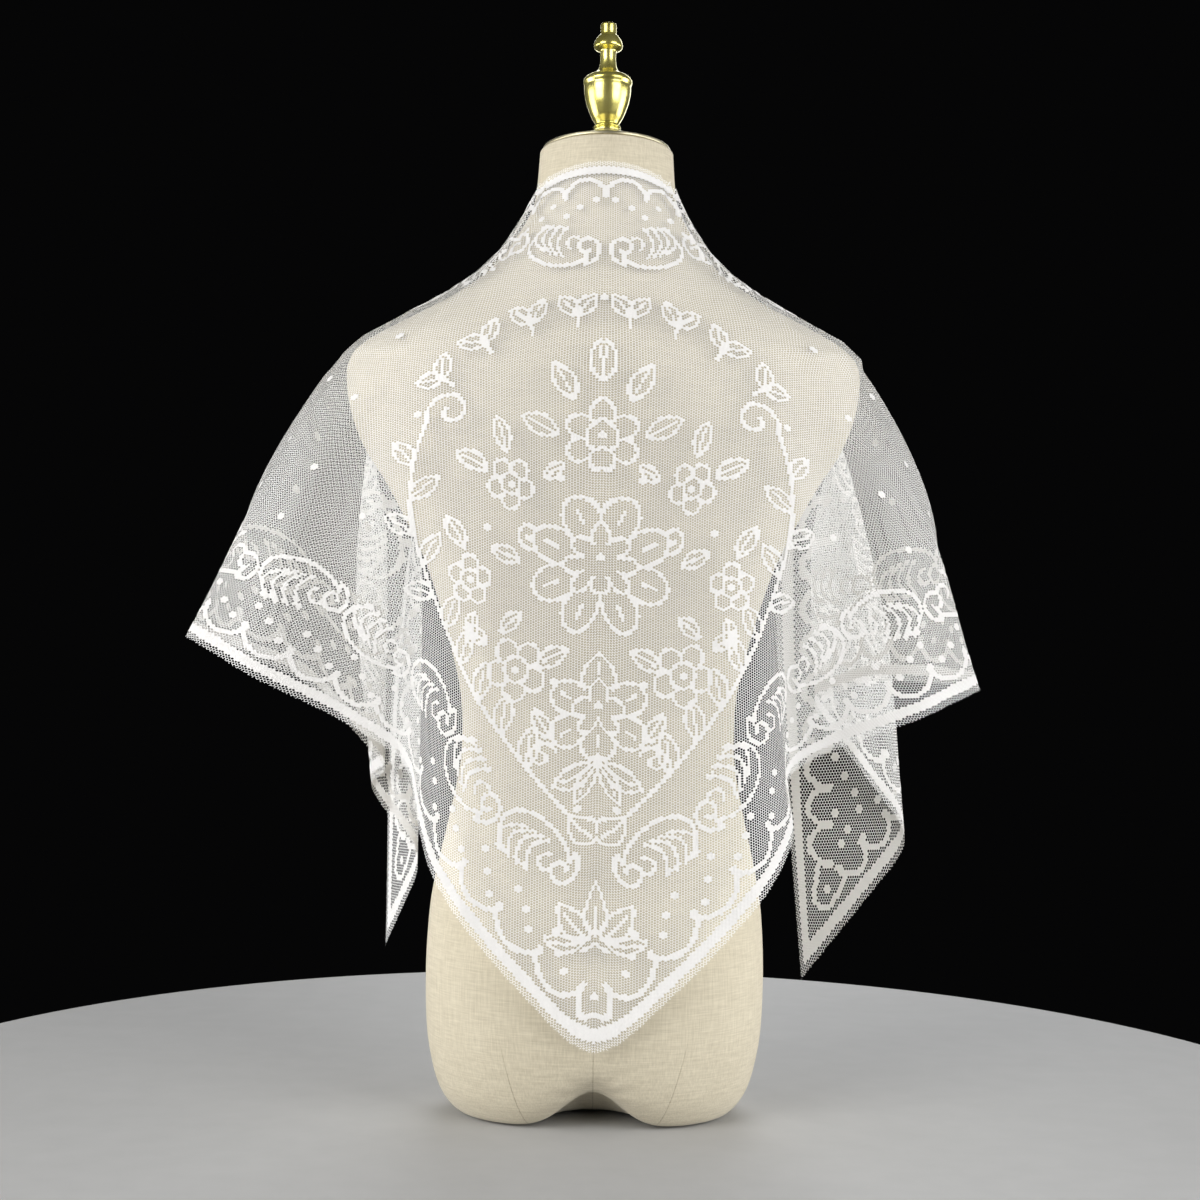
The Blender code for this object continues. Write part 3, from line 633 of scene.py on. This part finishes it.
def bouquet(chart):
    """The generic middle: leafy stems round a column of flowers, under an arc of sprigs."""
    middle = 338 * MM
    flower(chart, 0.0, middle, 56 * MM, 8, 22.5, 8)
    flower(chart, 0.0, middle + 116 * MM, 40 * MM, 6, 90, 5)
    flower(chart, 0.0, middle - 98 * MM, 28 * MM, 6, 30)
    for x, y, radius in ((66, 84, 25), (72, -60, 20), (108, 18, 19)):
        flower(chart, x * MM, middle + y * MM, radius * MM, 5, 18 + x)
    for x, y, heading, length in (
            (24, 66, 24, 28), (92, 66, -38, 24), (50, 114, 118, 26),
            (92, -68, -34, 28), (76, -84, -80, 28), (32, -100, -30, 32), (20, -128, -66, 32),
            (112, -6, -62, 28), (104, 42, 76, 26), (44, -66, -150, 20), (0, 160, 50, 30),
            (0, 160, 14, 36), (62, 40, 34, 24), (64, 0, -26, 26), (0, -140, -90, 34)):
        leaf(chart, (x * MM, middle + y * MM), heading, length * MM)
    for x, y, radius, start, sweep in (
            (56, -22, 13, 120, -420), (44, 150, 13, 200, 420)):
        chart.line(volute(x * MM, middle + y * MM, radius * MM, start, sweep), LINE * 0.9)
    for x, y in ((30, -66), (92, -24), (34, 92), (16, 190)):
        chart.dot(x * MM, middle + y * MM)

    t = np.linspace(0, 1, 48)
    stem = np.stack([
        (20 + 136 * np.sin(math.pi * 0.66 * t)) * MM,
        middle + (196 - 306 * t + 6 * np.sin(math.pi * t)) * MM,
    ], 1)
    chart.line(stem, LINE)
    for k in range(6, 46, 4):
        way = stem[k + 1] - stem[k - 1]
        heading = math.degrees(math.atan2(way[1], way[0]))
        side = 1 if k > 20 and k % 8 == 2 else -1
        leaf(chart, stem[k], heading + 46 * side, (32 - 0.12 * k) * MM, side, 0.26)
    end = stem[-1]
    chart.line(volute(end[0] - 19 * MM, end[1] - 6 * MM, 20 * MM, 18, -420), LINE)
    leaf(chart, stem[0], 122, 34 * MM, 1, 0.26)

    for k in range(SPRIGS):
        angle = SPRIG_FIRST + SPRIG_STEP * k
        place = sprig_place(angle)
        leaf(chart, place, angle - 52, 22 * MM, 1, 0.3)
        leaf(chart, place, angle - 128, 22 * MM, -1, 0.3)
        chart.line(turned([(0, 0), (0, 10 * MM)], place, angle), LINE * 0.9)
    chart.dot(*sprig_place(SPRIG_FIRST + SPRIG_STEP * SPRIGS - 2))
    chart.dot(0.0, SPRIG_TOP - 12 * MM)

    palmette(chart, 636 * MM, 46 * MM)


def field_dots(chart):
    """Single dots strewn over the open ground, on a staggered grid."""
    for row in range(12):
        for column in range(10):
            x = (34 + 66 * column + (33 if row % 2 else 0)) * MM
            y = (150 + 46 * row + 9 * math.sin(2.3 * column + row)) * MM
            depth = (HEIGHT_FLAT - x - y) * math.sqrt(0.5)
            inner = (x / (180 * MM)) ** 2 + ((y - 340 * MM) / (225 * MM)) ** 2
            if depth > FIELD_INSET and inner > 1 and y > FIELD_TOP:
                chart.dot(x, y)


def knitted_chart():
    """The whole right half of the chart."""
    chart = Chart()
    bouquet(chart)
    field_dots(chart)
    edging(chart)
    chart.filled &= np.minimum(chart.edge_depth, chart.down) > BAND_FROM - 1 * MM
    return chart


# Materials


def nodes_of(material):
    """The material's node tree, its shader and its links."""
    material.use_nodes = True
    tree = material.node_tree
    return tree, tree.nodes["Principled BSDF"], tree.links


def math_node(tree, operation, *values):
    """A Math node whose inputs are numbers or sockets."""
    node = tree.nodes.new("ShaderNodeMath")
    node.operation = operation
    for k, value in enumerate(values):
        if hasattr(value, "links"):
            tree.links.new(value, node.inputs[k])
        else:
            node.inputs[k].default_value = value
    return node.outputs[0]


def noise_value(tree, scale, detail=2.0, place=None):
    """A noise texture's value, laid out by a place where one is given."""
    noise = tree.nodes.new("ShaderNodeTexNoise")
    noise.inputs["Scale"].default_value = scale
    noise.inputs["Detail"].default_value = detail
    if place is not None:
        tree.links.new(place, noise.inputs["Vector"])
    return noise.outputs["Fac"]


def between(tree, value, low, high):
    """A value from 0 to 1 carried to a range."""
    node = tree.nodes.new("ShaderNodeMapRange")
    node.inputs["To Min"].default_value = low
    node.inputs["To Max"].default_value = high
    tree.links.new(value, node.inputs["Value"])
    return node.outputs[0]


def colour_ramp(tree, value, stops):
    """A colour read from stops, each a position and a colour: the two ends, then those between."""
    node = tree.nodes.new("ShaderNodeValToRGB")
    elements = node.color_ramp.elements
    for k, (position, colour) in enumerate(stops):
        element = elements[k] if k < 2 else elements.new(position)
        element.position = position
        element.color = (*colour, 1)
    tree.links.new(value, node.inputs["Fac"])
    return node.outputs["Color"]


def raise_surface(tree, shader, height, distance, strength):
    """Bump on a shader from a height."""
    bump = tree.nodes.new("ShaderNodeBump")
    bump.inputs["Distance"].default_value = distance
    bump.inputs["Strength"].default_value = strength
    tree.links.new(height, bump.inputs["Height"])
    tree.links.new(bump.outputs[0], shader.inputs["Normal"])


def flat_coordinates(tree):
    """Sockets with the flat coordinates, across and down, in metres."""
    uv = tree.nodes.new("ShaderNodeUVMap")
    uv.uv_map = "flat"
    parts = tree.nodes.new("ShaderNodeSeparateXYZ")
    tree.links.new(uv.outputs[0], parts.inputs[0])
    return parts.outputs[0], parts.outputs[1]


def hole_distance(op, across, down, shift):
    """How near a point is to the middle of its mesh (0) or to the next mesh (1), in one set."""
    x = op('ADD', op('DIVIDE', across, 2 * COLUMN), shift)
    y = op('ADD', op('DIVIDE', down, STITCH), shift + 0.5)
    x = op('ABSOLUTE', op('SUBTRACT', x, op('ROUND', x)))
    y = op('ABSOLUTE', op('SUBTRACT', y, op('ROUND', y)))
    sides = op('MULTIPLY', y, 2.0)
    slants = op('ADD', y, op('MULTIPLY', x, 3.0))
    return op('MAXIMUM', sides, slants)


def past_teeth(op, depth, run, pitch):
    """1 where a depth in from an edge is past its row of teeth, else 0."""
    tooth = op('PINGPONG', run, pitch / 2)
    return op('GREATER_THAN', depth, op('MULTIPLY', tooth, 2 * TOOTH_DEPTH / pitch))


def net_material():
    """Fine knitted net: pale yarn round rows of small holes, with a toothed edge."""
    material = bpy.data.materials.new("Net ground")
    tree, shader, links = nodes_of(material)
    across, down = flat_coordinates(tree)
    op = partial(math_node, tree)
    first = hole_distance(op, across, down, 0.0)
    second = hole_distance(op, across, down, 0.5)
    hole = op('MINIMUM', first, second)
    yarn = op('GREATER_THAN', hole, HOLE_SHARE)

    width = op('ABSOLUTE', across)
    edge = op('SUBTRACT', HEIGHT_FLAT, op('ADD', width, down))
    edge = op('MULTIPLY', edge, math.sqrt(0.5))
    run = op('MULTIPLY', op('SUBTRACT', width, down), math.sqrt(0.5))
    inside = op('MINIMUM', past_teeth(op, edge, run, TOOTH_SHORT),
                past_teeth(op, down, across, TOOTH_LONG))
    links.new(op('MULTIPLY', yarn, inside), shader.inputs["Alpha"])

    raise_surface(tree, shader, noise_value(tree, 900), YARN_BUMP, 0.4)
    shader.inputs["Base Color"].default_value = (0.925, 0.925, 0.922, 1)
    shader.inputs["Roughness"].default_value = 0.55
    shader.inputs["Sheen Weight"].default_value = 0.3
    shader.inputs["Sheen Roughness"].default_value = 0.4
    return material


def figure_material():
    """Close-knit yarn of the figures: soft white with the knit's upright ribs."""
    material = bpy.data.materials.new("Woven figures")
    tree, shader, links = nodes_of(material)
    across, down = flat_coordinates(tree)
    op = partial(math_node, tree)
    rib = op('SINE', op('MULTIPLY', across, 4 * math.pi / COLUMN))
    stitch = op('SINE', op('MULTIPLY', down, 4 * math.pi / STITCH))
    height = op('ADD', rib, op('MULTIPLY', stitch, 0.6))
    raise_surface(tree, shader, height, YARN_BUMP, 0.6)
    white = between(tree, noise_value(tree, 420), 0.90, 0.99)
    tint = tree.nodes.new("ShaderNodeCombineColor")
    links.new(white, tint.inputs[0])
    links.new(op('MULTIPLY', white, 0.985), tint.inputs[1])
    links.new(op('MULTIPLY', white, 0.975), tint.inputs[2])
    links.new(tint.outputs[0], shader.inputs["Base Color"])
    shader.inputs["Roughness"].default_value = 0.6
    shader.inputs["Sheen Weight"].default_value = 0.3
    return material


def thread_noise(tree, place, scale):
    """Noise drawn out along the threads of one direction."""
    stretch = tree.nodes.new("ShaderNodeMapping")
    stretch.inputs["Scale"].default_value = scale
    tree.links.new(place, stretch.inputs["Vector"])
    return noise_value(tree, 1.0, place=stretch.outputs[0])


def seam_lines(tree, place):
    """A mask of the cover's seams: the upright middle one and two that curve up from the base."""
    op = partial(math_node, tree)
    shifted = tree.nodes.new("ShaderNodeVectorMath")
    shifted.operation = 'SUBTRACT'
    tree.links.new(place, shifted.inputs[0])
    shifted.inputs[1].default_value = AXIS
    parts = tree.nodes.new("ShaderNodeSeparateXYZ")
    tree.links.new(shifted.outputs[0], parts.inputs[0])
    out, up = op('ABSOLUTE', parts.outputs[0]), op('MAXIMUM', parts.outputs[2], 0.0)
    middle = op('DIVIDE', out, SEAM_HALF_WIDTH)
    rise = op('DIVIDE', up, SIDE_SEAM_TOP)
    bow = op('MULTIPLY', op('POWER', rise, 0.6), SIDE_SEAM_SPREAD)
    away = op('SUBTRACT', out, op('ADD', bow, SIDE_SEAM_FOOT))
    side = op('DIVIDE', op('ABSOLUTE', away), SEAM_HALF_WIDTH)
    side = op('ADD', side, op('POWER', rise, 4.0))
    fade = op('POWER', op('DIVIDE', up, MIDDLE_SEAM_TOP), 4.0)
    middle = op('ADD', middle, fade)
    near = op('MINIMUM', middle, side)
    return op('MAXIMUM', op('SUBTRACT', 1.0, near), 0.0)


def linen_material():
    """Plain-weave linen over padding: crossed threads with slubs, seams and a faint mottling."""
    material = bpy.data.materials.new("Linen cover")
    tree, shader, links = nodes_of(material)
    op = partial(math_node, tree)
    place = tree.nodes.new("ShaderNodeTexCoord").outputs["Object"]
    weft = thread_noise(tree, place, (60, 60, 1100))
    warp = thread_noise(tree, place, (1000, 1000, 55))
    mottle = thread_noise(tree, place, (7, 7, 7))
    weave = op('ADD', weft, warp)
    seams = seam_lines(tree, place)
    shade = op('ADD', op('MULTIPLY', weave, 0.42), op('MULTIPLY', mottle, 0.22))
    shade = op('SUBTRACT', shade, op('MULTIPLY', seams, 0.30))
    links.new(colour_ramp(tree, shade, LINEN_COLOURS), shader.inputs["Base Color"])
    relief = op('SUBTRACT', weave, op('MULTIPLY', seams, 2.0))
    raise_surface(tree, shader, relief, LINEN_BUMP, 0.35)
    shader.inputs["Roughness"].default_value = 0.88
    shader.inputs["Sheen Weight"].default_value = 0.15
    return material


def brass_material(name, low, high, roughness):
    """Polished yellow metal with a faint patina."""
    material = bpy.data.materials.new(name)
    tree, shader, links = nodes_of(material)
    place = tree.nodes.new("ShaderNodeTexCoord").outputs["Object"]
    patina = noise_value(tree, 60, 6, place)
    colour = colour_ramp(tree, patina, ((0.35, low), (0.6, high)))
    links.new(colour, shader.inputs["Base Color"])
    rough = between(tree, patina, roughness * 0.7, roughness * 1.4)
    links.new(rough, shader.inputs["Roughness"])
    shader.inputs["Metallic"].default_value = 0.82
    return material


# Pieces


def placed(mesh, material):
    """An object for a mesh, smooth-shaded, in the scene."""
    mesh.shade_smooth()
    mesh.materials.append(material)
    made = bpy.data.objects.new(mesh.name, mesh)
    bpy.context.scene.collection.objects.link(made)
    return made


def cloth_mesh(name, places, flat, faces, material):
    """A mesh with its flat coordinates kept as a UV map, in metres."""
    mesh = bpy.data.meshes.new(name)
    mesh.vertices.add(len(places))
    mesh.vertices.foreach_set("co", places.astype(np.float32).ravel())
    sides = faces.shape[1]
    mesh.loops.add(faces.size)
    mesh.loops.foreach_set("vertex_index", faces.astype(np.int32).ravel())
    mesh.polygons.add(len(faces))
    mesh.polygons.foreach_set("loop_start", np.arange(0, faces.size, sides, dtype=np.int32))
    mesh.update(calc_edges=True)
    uv = mesh.uv_layers.new(name="flat")
    uv.data.foreach_set("uv", flat[faces.ravel()].astype(np.float32).ravel())
    return placed(mesh, material)


def net_piece(material):
    """The net ground, one sheet over the whole cut."""
    across, down = flat_grid(GRID_SHARES, GRID_PARTS)
    columns, rows = across.shape
    i, j = np.meshgrid(np.arange(columns - 1), np.arange(rows - 1), indexing="ij")
    a = (i * rows + j).ravel()
    faces = np.stack([a, a + rows, a + rows + 1, a + 1], axis=1)
    flat = np.stack([across.ravel(), down.ravel()], axis=1)
    return cloth_mesh("shawl_net", grid_places.reshape(-1, 3), flat, faces, material)


def figure_piece(material, chart):
    """The close-knit figures, a small face for each filled cell, just off the ground."""
    rows, columns = np.nonzero(chart.filled)
    across, down = chart.across[rows, columns], chart.down[rows, columns]
    mirrored = across > COLUMN / 2
    across = np.concatenate([across, -across[mirrored]])
    down = np.concatenate([down, down[mirrored]])
    corners = ((-CELL_WIDE, 0), (-CELL_NARROW, -CELL_HIGH), (CELL_NARROW, -CELL_HIGH),
               (CELL_WIDE, 0), (CELL_NARROW, CELL_HIGH), (-CELL_NARROW, CELL_HIGH))
    flat = np.stack([np.stack([across + dx, down + dy], 1) for dx, dy in corners], axis=1)
    flat = flat.reshape(-1, 2)
    places = drape(flat[:, 0], np.maximum(flat[:, 1], 0), -FIGURE_LIFT)
    faces = np.arange(len(flat)).reshape(-1, 6)
    return cloth_mesh("shawl_figures", places, flat, faces, material)


def smooth_rows(rows, steps):
    """Rows of numbers made finer on a smooth curve through them."""
    rows = np.asarray(rows, float)
    padded = np.concatenate([rows[:1], rows, rows[-1:]])
    place = np.linspace(0, len(rows) - 1, steps)
    k = np.minimum(place.astype(int), len(rows) - 2)
    t = (place - k)[:, None]
    p0, p1, p2, p3 = (padded[k + j] for j in range(4))
    bend = (p2 - p0) * t + (2 * p0 - 5 * p1 + 4 * p2 - p3) * t ** 2
    return p1 + 0.5 * (bend + (3 * p1 - p0 - 3 * p2 + p3) * t ** 3)


def plain_mesh(name, vertices, faces, material):
    """A smooth-shaded piece of mixed faces."""
    mesh = bpy.data.meshes.new(name)
    mesh.from_pydata([tuple(v) for v in vertices], [], faces)
    return placed(mesh, material)


def ring_faces(rings, around):
    """Faces between rings of one closed shape, with a fan at either end."""
    faces = []
    for k in range(rings - 1):
        for i in range(around):
            a, b, j = k * around, (k + 1) * around, (i + 1) % around
            faces.append((a + i, a + j, b + j, b + i))
    last = (rings - 1) * around
    for i in range(around):
        j = (i + 1) % around
        faces.append((j, i, rings * around))
        faces.append((last + i, last + j, rings * around + 1))
    return faces


def linen_form(material):
    """The padded torso: smooth, drawn in below, with small gathers where its seam ends."""
    turn = (np.arange(FORM_ROUND) + 0.5) * 2 * math.pi / FORM_ROUND
    c, s = np.cos(turn), np.sin(turn)
    rows = smooth_rows(FORM_SECTIONS, FORM_LEVELS)
    rows = [rows[0] * [1, k, k, k, 1] for k in BASE_INSETS] + list(rows)
    rings = []
    for up, wide, back, fore, square in rows:
        up = up * MM
        x = wide * MM * np.sign(c) * np.abs(c) ** (2 / square)
        y = np.where(s < 0, back, fore) * MM * np.sign(s) * np.abs(s) ** (2 / square)
        lift = NOTCH_HEIGHT * np.exp(-(x / NOTCH_HALF_WIDTH) ** 2)
        outward = (np.abs(y) - NOTCH_STARTS_AT) / (NOTCH_FULL_AT - NOTCH_STARTS_AT)
        lift = lift * np.clip(outward, 0, 1) ** 2 * max(1 - up / NOTCH_UP_TO, 0)
        fall = math.tan(NECK_TILT) * y * min(max((up - TILT_FROM) / (NECK_TOP - TILT_FROM), 0), 1)
        z = up + lift - fall
        reach = np.hypot(x, z - NOTCH_HEIGHT)
        fan = np.arctan2(x, z - NOTCH_HEIGHT)
        gather = GATHER_HEIGHT * np.exp(-((reach - GATHER_FROM) / GATHER_SPREAD) ** 2)
        gather = gather * np.cos(GATHER_COUNT * fan + 0.7)
        crease = SEAM_DEPTH * np.exp(-(x / SEAM_SPREAD) ** 2) * np.exp(-z / SEAM_LENGTH)
        out = (gather - crease) * np.clip(np.abs(y) / NOTCH_FULL_AT - 0.5, 0, 1) * (up > 0)
        rings.append(np.stack([x, y + np.sign(y) * out, z], 1) + AXIS)
    vertices = list(np.concatenate(rings))
    vertices += [AXIS, AXIS + [0, 0, NECK_TOP]]
    return plain_mesh("linen_form", vertices, ring_faces(len(rings), FORM_ROUND), material)


def turned_piece(name, profile, above, material):
    """A turned piece from its profile, set on the tilted top of the neck."""
    fine = smooth_rows(profile[:-1], SMOOTH_STEPS * len(profile))[1:] * MM
    turn = np.arange(TURNED_ROUND) * 2 * math.pi / TURNED_ROUND
    rings = [np.stack([r * np.cos(turn), r * np.sin(turn), np.full(TURNED_ROUND, z)], 1)
             for r, z in fine[::-1]]
    ends = [(0, 0, profile[-1][1] * MM), (0, 0, profile[0][1] * MM)]
    vertices = np.concatenate(rings + [np.array(ends)])
    tilt = np.array(Matrix.Rotation(-NECK_TILT, 3, 'X'))
    vertices = (vertices + [0, 0, above]) @ tilt.T + [0, 0, NECK_TOP] + AXIS
    return plain_mesh(name, vertices, ring_faces(len(rings), TURNED_ROUND), material)


def area_light(name, place, size, power, colour):
    """A square soft light that looks at the middle of the cloth."""
    data = bpy.data.lights.new(name, 'AREA')
    data.size = size
    data.energy = power
    data.color = colour
    light = bpy.data.objects.new(name, data)
    light.location = place
    way = Vector((AXIS[0], AXIS[1], LIGHTS_AIM)) - Vector(place)
    light.rotation_euler = way.to_track_quat('-Z', 'Y').to_euler()
    bpy.context.scene.collection.objects.link(light)


def form_pieces():
    """The form, its cap and its finial, finer than their solids."""
    linen = linen_material()
    brass = brass_material("Finial brass", (0.60, 0.53, 0.13), (0.80, 0.73, 0.24), 0.22)
    plate = brass_material("Cap plate", (0.40, 0.36, 0.24), (0.56, 0.52, 0.37), 0.38)
    form = linen_form(linen)
    cap = turned_piece("brass_cap", CAP_PROFILE, PART_GAP, plate)
    on_cap = CAP_PROFILE[0][1] * MM + 2 * PART_GAP
    finial = turned_piece("brass_finial", FINIAL_PROFILE, on_cap, brass)
    for piece, node, slot in ((form, "dress_form", "linen"), (cap, "neck_cap", "brass"),
                              (finial, "finial", "brass")):
        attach(piece, "root")
        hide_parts(node)


def floor_and_light():
    """A plain pale floor, dark studio behind and broad soft lights."""
    below = -FLOOR_DEPTH / 2 - 0.5 * MM
    bpy.ops.mesh.primitive_cylinder_add(vertices=128, radius=FLOOR_RADIUS, depth=FLOOR_DEPTH,
                                        location=(AXIS[0], AXIS[1], below))
    floor = bpy.context.object
    floor.name = "floor"
    material = bpy.data.materials.new("Floor")
    tree, shader, links = nodes_of(material)
    links.new(between(tree, noise_value(tree, 40), 0.40, 0.44), shader.inputs["Base Color"])
    shader.inputs["Roughness"].default_value = 0.7
    floor.data.materials.append(material)

    world = bpy.data.worlds.new("Studio")
    bpy.context.scene.world = world
    world.use_nodes = True
    world.node_tree.nodes["Background"].inputs["Color"].default_value = (0.0018, 0.0018, 0.0019, 1)
    for light in LIGHTS:
        area_light(*light)


def camera():
    """The photograph's view: level, close, and rolled by a hair."""
    data = bpy.data.cameras.new("Camera")
    data.sensor_width = 36
    data.sensor_fit = 'HORIZONTAL'
    data.lens = CAMERA_DISTANCE / (FRAME_PIXELS * PIXEL) * data.sensor_width
    data.clip_start = 0.05
    view = bpy.data.objects.new("Camera", data)
    view.location = (AXIS[0], AXIS[1] - CAMERA_DISTANCE, CAMERA_HEIGHT)
    level = Matrix.Rotation(math.pi / 2, 4, 'X')
    view.rotation_euler = (level @ Matrix.Rotation(CAMERA_ROLL, 4, 'Z')).to_euler()
    bpy.context.scene.collection.objects.link(view)
    bpy.context.scene.camera = view


def main():
    """Builds the cloth, dresses the form and sets the studio up."""
    camera()
    form_pieces()
    net = net_piece(net_material())
    figures = figure_piece(figure_material(), knitted_chart())
    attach(net, "root")
    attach(figures, "root")
    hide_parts("shawl_back", "shawl_left_front", "shawl_right_front")
    floor_and_light()
    scene = bpy.context.scene
    scene.view_settings.view_transform = 'Standard'
    scene.cycles.transparent_max_bounces = 40


main()
